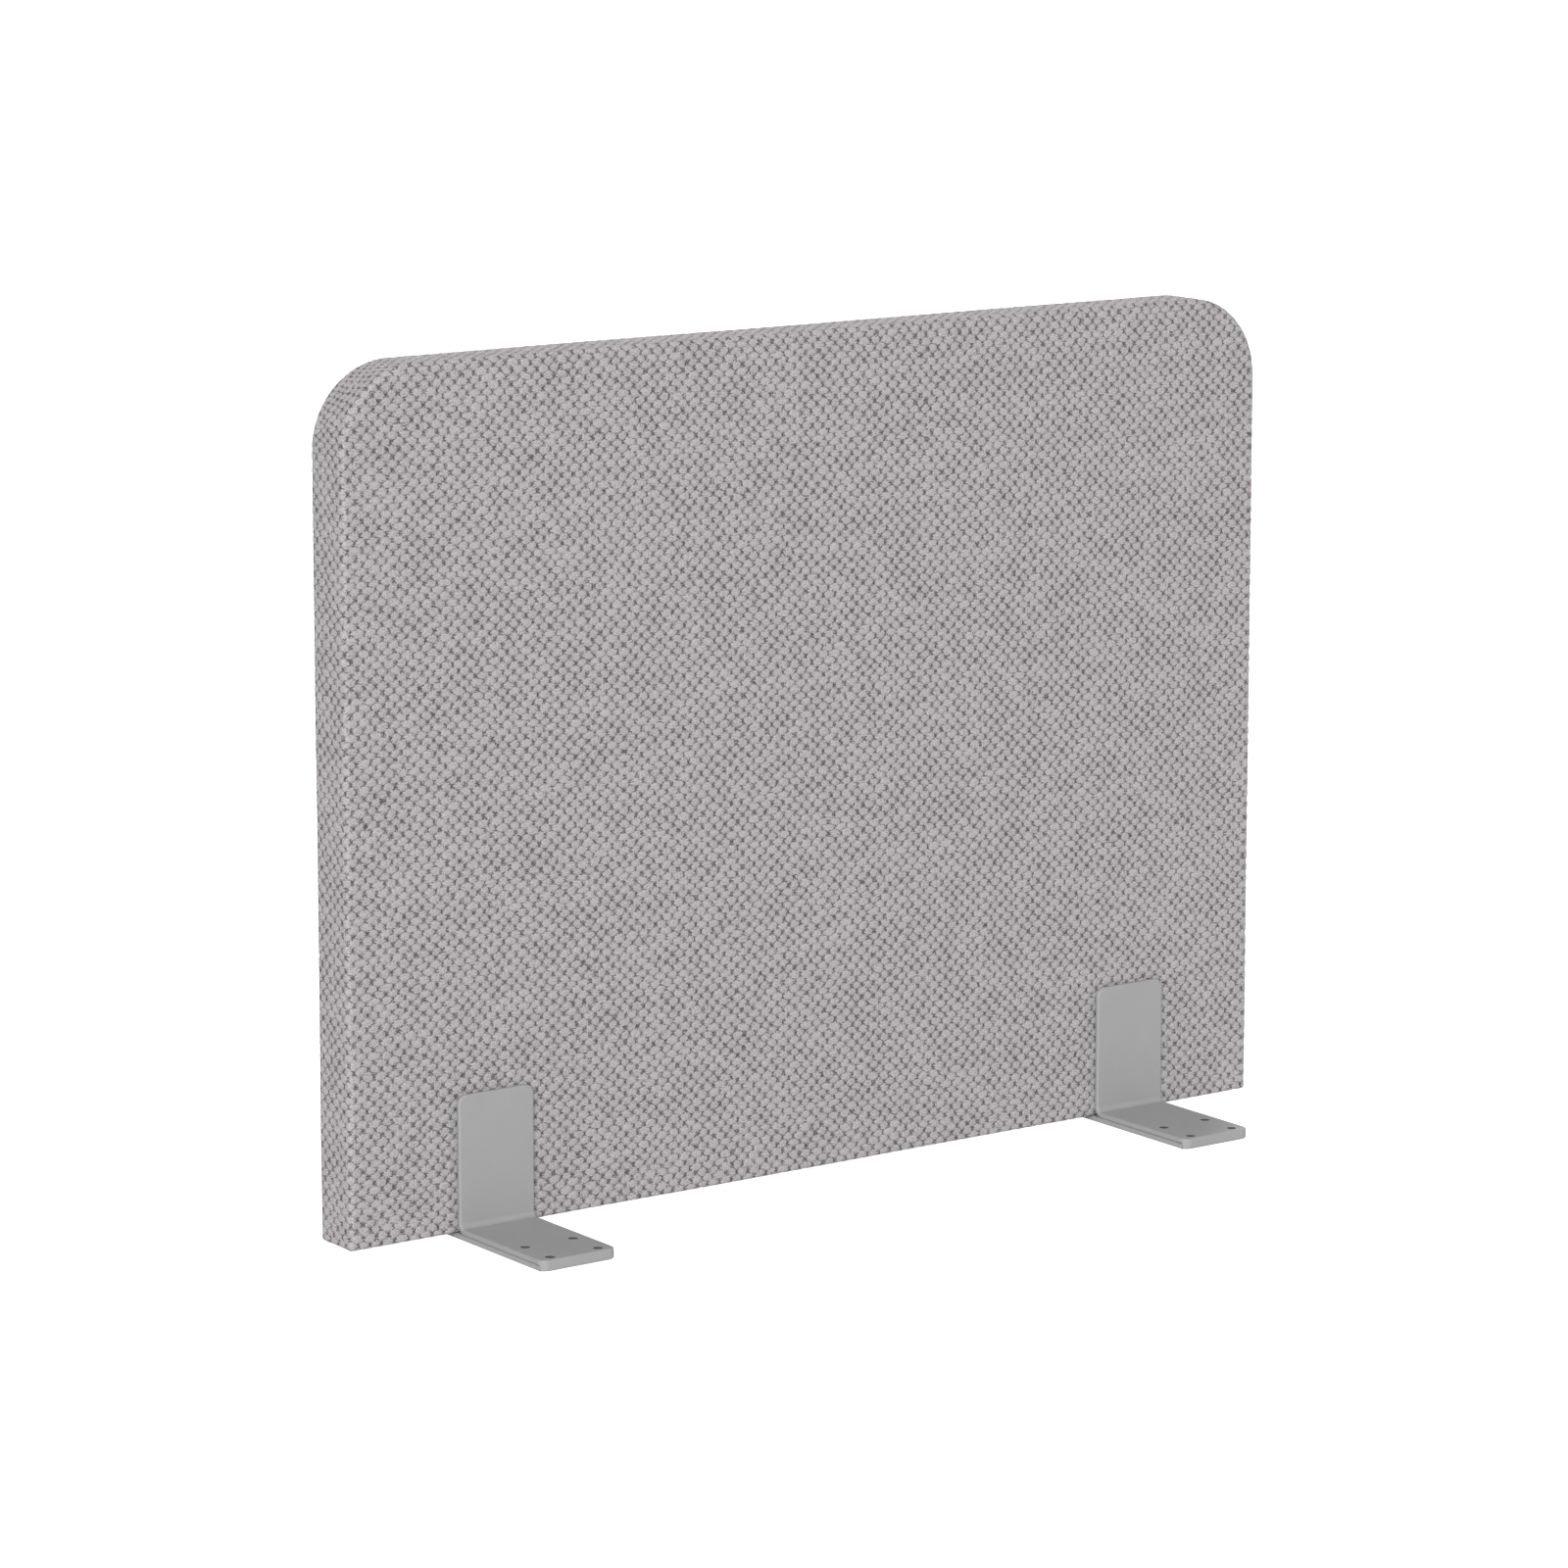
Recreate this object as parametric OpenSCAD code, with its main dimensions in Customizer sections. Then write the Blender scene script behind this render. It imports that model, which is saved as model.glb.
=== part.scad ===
// Desk privacy panel: a fabric-covered screen held by two clamping brackets,
// each made of a front and a rear steel angle, that screw down to the desk top.
// X runs along the panel, -Y is the front, +Z is up. The origin is in the
// middle of the base, on the desk. Millimetres.

/* [Panel] */
// Width of the finished panel
panel_w = 600; // [400:1:1200]
// Height of the finished panel from its lower edge
panel_h = 457; // [250:1:600]
// Thickness of the finished panel, cover included
panel_t = 30; // [28:1:40]
// Radius of the two top corners
corner_r = 45; // [15:1:80]
// Radius of the soft edges round the cover
edge_r = 2.5; // [2:0.1:4]

/* [Layers] */
// Thickness of the stiff core board
core_t = 18; // [12:1:20]
// Thickness of the woven cover
cover_t = 1.5; // [1:0.1:2]
// Thickness of the closing strip under the panel
strip_t = 0.5; // [0.3:0.1:1]
// Width of the closing strip
strip_w = 24; // [20:1:26]
// Width of the cover that is turned under the core board, on each face
turn_under_w = 12; // [8:1:13]
// Width of the front cover's hem on the rear face
rear_hem_w = 10; // [8:1:20]

/* [Staples] */
// Distance between neighbouring staples
staple_pitch = 40; // [20:1:80]
// Distance from the panel's faces to the staple rows
staple_inset = 8; // [6:0.5:10]
// Width of a staple's crown
staple_w = 10; // [6:0.5:12]
// Length of a staple's legs
staple_leg = 8; // [6:1:14]
// Thickness of the staple wire
staple_wire_t = 0.6; // [0.4:0.1:1]
// Width of the staple wire
staple_wire_w = 1.2; // [0.6:0.1:1.6]

/* [Brackets] */
// Width of the flat steel bar
bar_w = 46.5; // [38:0.5:60]
// Thickness of the flat steel bar
bar_t = 3; // [2:0.5:4]
// Corner radius at the ends of the bar
bar_corner_r = 5; // [3:0.5:8]
// Inside radius of the front angle's bend
front_bend_r = 3; // [2:0.5:5]
// Inside radius of the rear angle's bend, under the panel
rear_bend_r = 1.5; // [1:0.5:2]
// Height of the top of both legs above the desk
leg_top = 77; // [70:1:120]
// Reach of the foot in front of the panel
foot_reach = 80; // [60:1:120]
// Distance from the panel's ends to the sides of the brackets
bracket_inset = 64.5; // [20:0.5:120]
// Gap between the front angle's lip and the rear angle's toe
lip_gap = 0.2; // [0.1:0.1:0.5]

/* [Desk screw holes] */
// Diameter of the holes through both feet
desk_hole_d = 5; // [4:0.1:6]
// Spacing of the holes across the foot
desk_hole_spacing_x = 29.5; // [20:0.5:30]
// Spacing of the holes along the foot
desk_hole_spacing_y = 23; // [15:1:40]
// Distance from the foot's tip to the front row of holes
desk_hole_edge = 5.5; // [5:0.5:10]

/* [Clamp fastenings] */
// Height of the lower clamp screw above the desk
clamp_z_low = 26; // [20:1:30]
// Distance between the two clamp screws of a bracket
clamp_spacing = 35; // [25:1:40]
// Thread diameter of the clamp screws
screw_d = 5; // [4:1:6]
// Length of the clamp screws under the head
screw_l = 20; // [16:1:25]
// Diameter of the button heads
screw_head_d = 9.5; // [8:0.5:11]
// Height of the button heads
screw_head_h = 2.75; // [2:0.25:3]
// Diameter of the flat top of the button heads
screw_flat_d = 5; // [4:0.5:6]
// Hexagon socket in the heads, across the flats
socket_af = 3; // [2.5:0.5:4]
// Depth of the hexagon socket
socket_depth = 1.6; // [1:0.1:2]
// Diameter of the washers
washer_d = 10; // [9:0.5:14]
// Thickness of the washers
washer_t = 1; // [0.8:0.1:1.5]
// Diameter of the screw holes in the rear legs
clearance_d = 5.5; // [5.2:0.1:6.5]
// Outside diameter of the threaded bushes
bush_d = 10; // [8:1:12]
// Distance that the bushes stop short of the panel's rear face
bush_short = 4; // [2:0.5:6]
// Radial room round a bush inside the panel
bush_room = 0.5; // [0.2:0.1:1]

/* [Hidden] */
$fn = 64;
cut = 1; // how far a cutting shape runs past the surface it cuts

pad_t = (panel_t - core_t) / 2 - cover_t;
panel_z = bar_t;                       // the panel stands on the rear angles' feet
cover_z = panel_z + strip_t;           // lowest fabric
cover_h = panel_h - strip_t;
core_z = cover_z + cover_t;
core_w = panel_w - 2 * cover_t;
core_h = cover_h - 2 * cover_t;
core_corner_r = corner_r - cover_t;
edge_band = 10;                        // depth of the swept rim of the panel's outer shape

overall_d = foot_reach + panel_t + bar_t + washer_t + screw_head_h;
tip_y = -overall_d / 2;
front_y = tip_y + foot_reach;          // the panel's front face
rear_y = front_y + panel_t;            // the panel's rear face
leg_back_y = rear_y + bar_t;           // outside face of the rear legs
foot_t = 2 * bar_t;

bracket_x = panel_w / 2 - bracket_inset - bar_w / 2;
clamp_heights = [clamp_z_low, clamp_z_low + clamp_spacing];
bush_l = panel_t - bush_short;
head_y = leg_back_y + washer_t;        // underside of the screw heads
screw_tip_y = head_y - screw_l;

staple_count = 2 * floor((panel_w / 2 - corner_r / 2) / staple_pitch) + 1;
staple_xs = [
    for (i = [0 : staple_count - 1])
        let (x = (i - (staple_count - 1) / 2) * staple_pitch)
        if (abs(abs(x) - bracket_x) > (bar_w + staple_w) / 2 + 2) x
];
staple_ys = [front_y + staple_inset, rear_y - staple_inset];

cloth = [0.71, 0.69, 0.69];
powder_coat = [0.63, 0.64, 0.64];
zinc = [0.75, 0.76, 0.78];

// ---- Shared shapes ----------------------------------------------------------

// A panel outline in X and Z with two round top corners, standing on z = 0.
module outline(w, h, r) {
    translate([-w / 2, 0]) square([w, h - r]);
    translate([-w / 2 + r, 0]) square([w - 2 * r, h]);
    for (side = [-1, 1]) translate([side * (w / 2 - r), h - r]) circle(r = r);
}

// An upright slab of that outline, from depth y backwards by t, with its foot at z.
module slab(w, h, r, y, t, z) {
    translate([0, y + t, z]) rotate([90, 0, 0]) linear_extrude(height = t) outline(w, h, r);
}

// Round rods along Y at every clamp screw of both brackets.
module clamp_rods(d, y, length) {
    for (side = [-1, 1], z = clamp_heights)
        translate([side * bracket_x, y, z]) rotate([-90, 0, 0]) cylinder(d = d, h = length);
}

// Section through a side of the panel: x points out of the panel, y from front to rear.
module rim_section() {
    translate([-edge_band, 0]) square([edge_band - edge_r, panel_t]);
    translate([-edge_band, edge_r]) square([edge_band, panel_t - 2 * edge_r]);
    for (y = [edge_r, panel_t - edge_r]) translate([-edge_r, y]) circle(r = edge_r);
}

// The soft rim swept up one side, round the corner and halfway along the top.
module half_rim() {
    corner_x = panel_w / 2 - corner_r;
    corner_z = cover_h - corner_r;
    translate([panel_w / 2, 0, 0]) linear_extrude(height = corner_z) rim_section();
    translate([corner_x, 0, corner_z]) rotate([90, 0, 0]) mirror([0, 0, 1])
        rotate_extrude(angle = 90) translate([corner_r, 0]) rim_section();
    translate([0, 0, cover_h]) rotate([0, -90, 0]) mirror([0, 0, 1])
        linear_extrude(height = corner_x) rim_section();
}

// The panel's outer shape with all its edges rounded, in place.
module panel_solid() {
    inner_w = panel_w - 2 * edge_band;
    intersection() {
        union() {
            translate([0, front_y, cover_z]) {
                half_rim();
                mirror([1, 0, 0]) half_rim();
            }
            slab(inner_w, cover_h - edge_band, corner_r - edge_band, front_y, panel_t, cover_z);
        }
        translate([-panel_w / 2 - cut, front_y, cover_z]) rotate([90, 0, 90])
            linear_extrude(height = panel_w + 2 * cut) {
                translate([edge_r, 0]) square([panel_t - 2 * edge_r, cover_h + cut]);
                translate([0, edge_r]) square([panel_t, cover_h + cut]);
                for (y = [edge_r, panel_t - edge_r]) translate([y, edge_r]) circle(r = edge_r);
            }
    }
}

// The space inside the cover, filled by the core board and the two pads.
module cover_cavity() {
    slab(core_w, core_h, core_corner_r, front_y + cover_t, panel_t - 2 * cover_t, core_z);
}

// What the rear cover takes of the shell: the rear face inside the hem, and its turn-under.
module rear_cover_space() {
    inner_w = panel_w - 2 * rear_hem_w;
    slab(inner_w, cover_h - rear_hem_w, corner_r - rear_hem_w, rear_y - cover_t, cover_t + cut, cover_z);
    translate([-inner_w / 2, rear_y - turn_under_w, cover_z - cut])
        cube([inner_w, turn_under_w + cut, cover_t + cut]);
}

// The part of the underside that neither cover reaches, under the closing strip.
module underside_gap() {
    translate([-core_w / 2, front_y + turn_under_w, cover_z - cut])
        cube([core_w, panel_t - 2 * turn_under_w, cover_t + cut]);
}

// Every staple leg, as the slot that it makes and as the leg itself.
module staple_legs() {
    for (x = staple_xs, y = staple_ys, side = [0, 1])
        translate([x - staple_w / 2 + side * (staple_w - staple_wire_w), y - staple_wire_w / 2, panel_z])
            cube([staple_wire_w, staple_wire_w, staple_leg]);
}

// ---- Panel ------------------------------------------------------------------

module layer(y, t) {
    difference() {
        slab(core_w, core_h, core_corner_r, y, t, core_z);
        clamp_rods(bush_d + 2 * bush_room, y - cut, t + 2 * cut);
        staple_legs();
    }
}

module core_board() {
    color("burlywood") layer(front_y + cover_t + pad_t, core_t);
}

module front_pad() {
    color("gainsboro") layer(front_y + cover_t, pad_t);
}

module rear_pad() {
    color("gainsboro") layer(rear_y - cover_t - pad_t, pad_t);
}

module front_cover() {
    color(cloth) difference() {
        panel_solid();
        cover_cavity();
        rear_cover_space();
        underside_gap();
        clamp_rods(bush_d + 2 * bush_room, front_y - cut, cover_t + 2 * cut);
        staple_legs();
    }
}

module rear_cover() {
    color(cloth) difference() {
        intersection() {
            panel_solid();
            rear_cover_space();
        }
        cover_cavity();
        clamp_rods(clearance_d, rear_y - cover_t - cut, cover_t + 2 * cut);
        staple_legs();
    }
}

module bottom_strip() {
    color("dimgray") difference() {
        translate([-core_w / 2, front_y + (panel_t - strip_w) / 2, panel_z])
            cube([core_w, strip_w, strip_t]);
        staple_legs();
    }
}

module bottom_staples() {
    color("silver") {
        staple_legs();
        for (x = staple_xs, y = staple_ys)
            translate([x - staple_w / 2, y - staple_wire_w / 2, panel_z - staple_wire_t])
                cube([staple_w, staple_wire_w, staple_wire_t]);
    }
}

// ---- Brackets ---------------------------------------------------------------

// A bar end in plan: square at y = 0, with two round corners at y = length.
module bar_blank(length) {
    translate([-bar_w / 2, 0]) square([bar_w, length - bar_corner_r]);
    translate([-bar_w / 2 + bar_corner_r, 0]) square([bar_w - 2 * bar_corner_r, length]);
    for (side = [-1, 1])
        translate([side * (bar_w / 2 - bar_corner_r), length - bar_corner_r]) circle(r = bar_corner_r);
}

// A quarter bend of the bar about the X axis, in the quadrant of -Y and -Z.
module bend(inside_r) {
    translate([-bar_w / 2, 0, 0]) rotate([0, 90, 0]) rotate([0, 0, -90])
        rotate_extrude(angle = 90) translate([inside_r, 0]) square([bar_t, bar_w]);
}

// A leg that rises from z0 to the top, with its front face at y.
module leg(y, z0) {
    translate([0, y + bar_t, z0]) rotate([90, 0, 0]) linear_extrude(height = bar_t) bar_blank(leg_top - z0);
}

module desk_holes() {
    first_row_y = tip_y + desk_hole_edge;
    for (side = [-1, 1], row = [0, 1])
        translate([side * desk_hole_spacing_x / 2, first_row_y + row * desk_hole_spacing_y, -cut])
            cylinder(d = desk_hole_d, h = foot_t + 2 * cut);
}

// Front angle: a leg on the panel's front face, and the upper plate of the foot,
// whose lip hooks down over the toe of the rear angle.
module front_angle() {
    bend_y = front_y - bar_t - front_bend_r;
    bend_z = foot_t + front_bend_r;
    color(powder_coat) difference() {
        union() {
            leg(front_y - bar_t, bend_z);
            translate([0, bend_y, bend_z]) mirror([0, 1, 0]) bend(front_bend_r);
            translate([0, bend_y, bar_t]) mirror([0, 1, 0])
                linear_extrude(height = bar_t) bar_blank(bend_y - tip_y);
            intersection() {
                translate([0, bend_y, 0]) mirror([0, 1, 0])
                    linear_extrude(height = foot_t) bar_blank(bend_y - tip_y);
                translate([-bar_w, tip_y - cut, 0]) cube([2 * bar_w, bar_t + cut, foot_t]);
            }
        }
        desk_holes();
    }
}

// Rear angle: the long lower plate of the foot, under the panel, and a leg on its rear face.
module rear_angle() {
    bend_y = rear_y - rear_bend_r;
    bend_z = bar_t + rear_bend_r;
    toe_y = tip_y + bar_t + lip_gap;
    color(powder_coat) difference() {
        union() {
            leg(rear_y, bend_z);
            translate([0, bend_y, bend_z]) mirror([0, 1, 0]) bend(rear_bend_r);
            intersection() {
                translate([0, bend_y, 0]) mirror([0, 1, 0])
                    linear_extrude(height = bar_t) bar_blank(bend_y - tip_y);
                translate([-bar_w, toe_y, 0]) cube([2 * bar_w, overall_d, bar_t]);
            }
        }
        desk_holes();
        for (z = clamp_heights)
            translate([0, rear_y - cut, z]) rotate([-90, 0, 0]) cylinder(d = clearance_d, h = bar_t + 2 * cut);
    }
}

// Threaded bush, welded to the back of the front leg.
module bush(z) {
    thread_y = screw_tip_y - cut;
    color(zinc) difference() {
        translate([0, front_y, z]) rotate([-90, 0, 0]) cylinder(d = bush_d, h = bush_l);
        translate([0, thread_y, z]) rotate([-90, 0, 0]) cylinder(d = screw_d, h = bush_l);
    }
}

// Button-head clamp screw, driven from behind.
module screw(z) {
    head_r = screw_head_d / 2;
    dome_z = (pow(screw_flat_d / 2, 2) + pow(screw_head_h, 2) - pow(head_r, 2)) / (2 * screw_head_h);
    dome_r = sqrt(pow(head_r, 2) + pow(dome_z, 2));
    color(zinc) {
        translate([0, screw_tip_y, z]) rotate([-90, 0, 0]) cylinder(d = screw_d, h = screw_l);
        translate([0, head_y, z]) rotate([-90, 0, 0]) difference() {
            intersection() {
                cylinder(d = screw_head_d, h = screw_head_h);
                translate([0, 0, dome_z]) sphere(r = dome_r);
            }
            translate([0, 0, screw_head_h - socket_depth])
                cylinder(d = socket_af / cos(30), h = socket_depth + cut, $fn = 6);
        }
    }
}

module washer(z) {
    color(zinc) translate([0, leg_back_y, z]) rotate([-90, 0, 0]) difference() {
        cylinder(d = washer_d, h = washer_t);
        translate([0, 0, -cut]) cylinder(d = clearance_d, h = washer_t + 2 * cut);
    }
}

core_board();
front_pad();
rear_pad();
front_cover();
rear_cover();
bottom_strip();
bottom_staples();

for (side = [["left", -1], ["right", 1]]) translate([side[1] * bracket_x, 0, 0]) {
    front_angle();
    rear_angle();
    for (level = [["lower", clamp_heights[0]], ["upper", clamp_heights[1]]]) {
        bush(level[1]);
        screw(level[1]);
        washer(level[1]);
    }
}
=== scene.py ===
import math

import bmesh
import bpy
import numpy as np
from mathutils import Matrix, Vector


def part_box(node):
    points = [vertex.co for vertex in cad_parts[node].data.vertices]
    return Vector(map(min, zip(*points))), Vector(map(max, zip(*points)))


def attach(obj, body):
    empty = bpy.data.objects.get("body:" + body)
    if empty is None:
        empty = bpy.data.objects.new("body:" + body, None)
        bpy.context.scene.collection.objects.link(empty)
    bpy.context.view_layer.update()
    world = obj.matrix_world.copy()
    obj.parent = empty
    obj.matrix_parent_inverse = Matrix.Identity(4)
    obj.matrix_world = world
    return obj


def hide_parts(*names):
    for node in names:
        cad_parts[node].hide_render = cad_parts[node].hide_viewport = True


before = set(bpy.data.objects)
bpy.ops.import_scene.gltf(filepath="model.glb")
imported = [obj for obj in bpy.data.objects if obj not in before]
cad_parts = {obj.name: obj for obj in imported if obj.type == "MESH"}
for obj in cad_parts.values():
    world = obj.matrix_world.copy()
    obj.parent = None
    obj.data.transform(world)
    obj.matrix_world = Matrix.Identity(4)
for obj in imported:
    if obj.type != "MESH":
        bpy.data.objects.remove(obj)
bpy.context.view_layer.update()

# Desk privacy panel. X runs along the panel and -Y is the front. The lengths of the piece are
# in millimetres, and to_scene() turns them into metres. Lights and camera are set in metres.
MM = 0.001


def box_mm(node):
    """The lowest and highest corner of a CAD node."""
    low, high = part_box(node)
    return np.array(low) / MM, np.array(high) / MM


# ---- Sizes ------------------------------------------------------------------

panel_low, panel_high = box_mm("front_cover")
foot_low, foot_high = box_mm("left_front_angle")
rear_foot_low, rear_foot_high = box_mm("left_rear_angle")
strip_low, strip_high = box_mm("bottom_strip")

HALF_W = panel_high[0]
FRONT_Y, REAR_Y = panel_low[1], panel_high[1]
BOTTOM_Z, TOP_Z = panel_low[2], panel_high[2]
CORNER_R = 45.0           # top corners of the panel
EDGE_R = 2.5              # soft edges of the cover
FOLD_R = 1.4              # tighter fold at the lower edge
REAR_HEM = 10.0           # width of the front cover on the rear face
TURN_UNDER = 12.0         # width of both covers under the core board

BAR_W = foot_high[0] - foot_low[0]
BAR_T = rear_foot_high[1] - REAR_Y
TIP_Y = foot_low[1]
LEG_TOP = foot_high[2]
BRACKET_X = -(foot_low[0] + foot_high[0]) / 2
TOE_Y = rear_foot_low[1]
LIP_BACK_Y = TIP_Y + BAR_T
CLAMP_HEIGHTS = [float(sum(box_mm(f"left_{level}_bush"))[2] / 2) for level in ("lower", "upper")]
DESK_HOLE_R = 2.5
DESK_HOLES_X = 29.5       # spacing of the holes across the foot
DESK_HOLES_Y = 23.0       # spacing of the holes along the foot
DESK_HOLE_EDGE = 5.5      # from the foot's tip to the front row of holes
BORE_R = 5.5              # holes in the pads, round the bushes
HOLE_EDGE_REACH = 3.4     # the edges of the holes in the steel lie within this of their axes
EDGE_SLACK = 0.2          # for finding an edge or a wall by its place

WARP_PITCH = 3.8          # distance between the upright yarns
WEFT_PITCH = 3.55         # distance between the level yarns
STEPS_PER_YARN = 4        # mesh points across each yarn


# ---- Mesh helpers -----------------------------------------------------------

def to_scene(name, points_mm, faces, smooth=True):
    """A mesh object from points in millimetres and faces, as an array of quads or a list."""
    mesh = bpy.data.meshes.new(name)
    points = np.asarray(points_mm, np.float32) * MM
    if isinstance(faces, np.ndarray):
        mesh.vertices.add(len(points))
        mesh.vertices.foreach_set("co", points.ravel())
        mesh.loops.add(faces.size)
        mesh.loops.foreach_set("vertex_index", faces.ravel().astype(np.int32))
        mesh.polygons.add(len(faces))
        starts = np.arange(0, faces.size, faces.shape[1], dtype=np.int32)
        mesh.polygons.foreach_set("loop_start", starts)
        mesh.update(calc_edges=True)
    else:
        mesh.from_pydata([tuple(p) for p in points], [], faces)
    mesh.validate()
    piece = bpy.data.objects.new(name, mesh)
    bpy.context.scene.collection.objects.link(piece)
    mesh.polygons.foreach_set("use_smooth", np.full(len(mesh.polygons), smooth))
    return piece


def install(piece, node_names, material):
    """Gives a piece its material, hides the CAD nodes that it stands for and fixes it to the root."""
    piece.data.materials.clear()
    piece.data.materials.append(material)
    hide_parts(*node_names)
    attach(piece, "root")


def desk_hole_distance(x, y):
    """Distance from (x, y) to the axis of the nearest desk screw hole."""
    along = min(abs(y - TIP_Y - DESK_HOLE_EDGE - row * DESK_HOLES_Y) for row in (0, 1))
    return math.hypot(abs(abs(x) - BRACKET_X) - DESK_HOLES_X / 2, along)


def clamp_hole_distance(x, z):
    """Distance from (x, z) to the axis of the nearest clamp screw."""
    return math.hypot(abs(x) - BRACKET_X, min(abs(z - height) for height in CLAMP_HEIGHTS))


def near_hole(point):
    """True on the edges of the holes in the steel angles."""
    x, y, z = (c / MM for c in point)
    in_foot = z < 2 * BAR_T + EDGE_SLACK
    distance = desk_hole_distance(x, y) if in_foot else clamp_hole_distance(x, z)
    return distance < HOLE_EDGE_REACH


def near_lip_gap(point):
    """True on the joint where the front angle's lip hooks down past the rear angle's toe."""
    y, z = point.y / MM, point.z / MM
    return z < BAR_T + EDGE_SLACK and LIP_BACK_Y - EDGE_SLACK < y < TOE_Y + EDGE_SLACK


def is_crisp(point):
    """True on the edges that the coating leaves sharper than the rest."""
    return near_hole(point) or near_lip_gap(point)


SHARP_ANGLE = math.radians(35)


def round_edges(shape, chosen, width, segments):
    """Bevels the sharp edges whose middle point is chosen."""
    sharp = [e for e in shape.edges
             if len(e.link_faces) == 2 and e.calc_face_angle() > SHARP_ANGLE
             and chosen((e.verts[0].co + e.verts[1].co) / 2)]
    bmesh.ops.bevel(shape, geom=sharp, offset=width * MM, offset_type="OFFSET", segments=segments,
                    profile=0.5, affect="EDGES", clamp_overlap=False)


def eased_copy(node_name, name, width, crisp_width=None, segments=3):
    """A copy of a CAD node with its sharp edges rounded off by width millimetres. With
    crisp_width, the edges of holes and of the joint at the toe get that much instead."""
    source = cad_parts[node_name]
    piece = bpy.data.objects.new(name, source.data.copy())
    piece.matrix_world = source.matrix_world
    bpy.context.scene.collection.objects.link(piece)
    shape = bmesh.new()
    shape.from_mesh(piece.data)
    bmesh.ops.remove_doubles(shape, verts=shape.verts, dist=1e-6)
    bmesh.ops.dissolve_limit(shape, angle_limit=math.radians(0.5), verts=shape.verts, edges=shape.edges)
    if crisp_width is None:
        round_edges(shape, lambda point: True, width, segments)
    else:
        round_edges(shape, is_crisp, crisp_width, segments)
        round_edges(shape, lambda point: not is_crisp(point), width, segments)
    for face in shape.faces:
        face.smooth = True
    shape.to_mesh(piece.data)
    shape.free()
    piece.modifiers.new("flat faces stay flat", "WEIGHTED_NORMAL")
    return piece


def paint_shade_on_hole_walls(piece, material):
    """The walls of the desk screw holes take a dark material: painted shade in these recesses."""
    piece.data.materials.append(material)
    for face in piece.data.polygons:
        upright = abs(face.normal.z) < 0.5
        distance = desk_hole_distance(face.center.x / MM, face.center.y / MM)
        if upright and distance < DESK_HOLE_R + EDGE_SLACK:
            face.material_index = 1


def flat_grid(low_u, high_u, columns, low_v, high_v, rows):
    """Points of a flat grid, as two flat arrays, and its quads."""
    u, v = np.meshgrid(np.linspace(low_u, high_u, columns), np.linspace(low_v, high_v, rows))
    first = (np.arange(rows - 1)[:, None] * columns + np.arange(columns - 1)).ravel()
    quads = np.stack([first, first + 1, first + columns + 1, first + columns], axis=1)
    return u.ravel(), v.ravel(), quads


def keep_inside(quads, outside):
    """The quads that aren't wholly outside, renumbered, and the points that they use."""
    used, quads = np.unique(quads[~outside[quads].all(axis=1)], return_inverse=True)
    return used, quads.reshape(-1, 4)


# ---- Procedural noise in numpy, seeded ---------------------------------------

def soft_noise(u, v, cell_u, cell_v, seed):
    """Smooth noise from -1 to 1 whose lumps are about cell_u by cell_v millimetres."""
    size = 256
    table = np.random.default_rng(seed).uniform(-1, 1, (size, size))
    a, b = u / cell_u + 1000.0, v / cell_v + 1000.0
    i, j = np.floor(a).astype(int), np.floor(b).astype(int)
    s, t = a - i, b - j
    s, t = s * s * (3 - 2 * s), t * t * (3 - 2 * t)
    i, j, i1, j1 = i % size, j % size, (i + 1) % size, (j + 1) % size
    low = table[i, j] * (1 - s) + table[i1, j] * s
    high = table[i, j1] * (1 - s) + table[i1, j1] * s
    return low * (1 - t) + high * t


def smoothstep(low, high, x):
    """0 below low, 1 above high and a soft step between."""
    t = np.clip((x - low) / (high - low), 0, 1)
    return t * t * (3 - 2 * t)


# ---- The woven cover --------------------------------------------------------
# A coarse plain weave. The level yarns are thick and float over every other upright yarn,
# so they show as oval beads in a checkerboard, with small dark holes between their ends.

BEAD_HALF_LENGTH = 3.22
BEAD_HALF_HEIGHT = 2.18
BEAD_POWER = 2.4          # 2 would make the beads ellipses, and more fills their corners
BEAD_SPREAD = 0.26        # in the material the beads' lengths differ by up to this share
RELIEF = 0.30             # height of a bead
YARN_PLACE = "yarn_place"  # mesh attribute: millimetres along and across the level yarns


def yarn_place(u, v, seed):
    """Where the cloth point (u, v) lies among the yarns, which are not quite even or straight."""
    along = u + 0.60 * soft_noise(u, v, 24, 12, seed) + 0.75 * soft_noise(u, v, 7.4, 3.5, seed + 1)
    along += 0.58 * soft_noise(u, v, 3.8, 3.2, seed + 2)
    across = v + 0.60 * soft_noise(u, v, 30, 17, seed + 3) + 0.60 * soft_noise(u, v, 9, 7.5, seed + 4)
    across += 0.44 * soft_noise(u, v, 4.0, 3.6, seed + 5)
    return along, across


def bead_height(along, across):
    """1 on the middle of a bead, 0 at its edge and less in the holes between beads."""
    best = np.full(along.shape, -9.0)
    first_row = np.floor(across / WEFT_PITCH - 0.5)
    for row in (first_row, first_row + 1):
        shift = np.mod(row, 2) * WARP_PITCH
        bead = np.round((along - shift) / (2 * WARP_PITCH))
        a = np.abs(along - shift - bead * 2 * WARP_PITCH) / BEAD_HALF_LENGTH
        b = np.abs(across - (row + 0.5) * WEFT_PITCH) / BEAD_HALF_HEIGHT
        reach = (a ** BEAD_POWER + b ** BEAD_POWER) ** (1 / BEAD_POWER)
        best = np.maximum(best, 1 - reach ** 2)
    return best


def bead_relief(yarns):
    """Height of the cloth's face in millimetres: rounded beads with fairly flat tops."""
    height = np.clip(bead_height(*yarns), -0.6, 1)
    return RELIEF * np.where(height > 0, 1 - (1 - height) ** 2.4, height)


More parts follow.
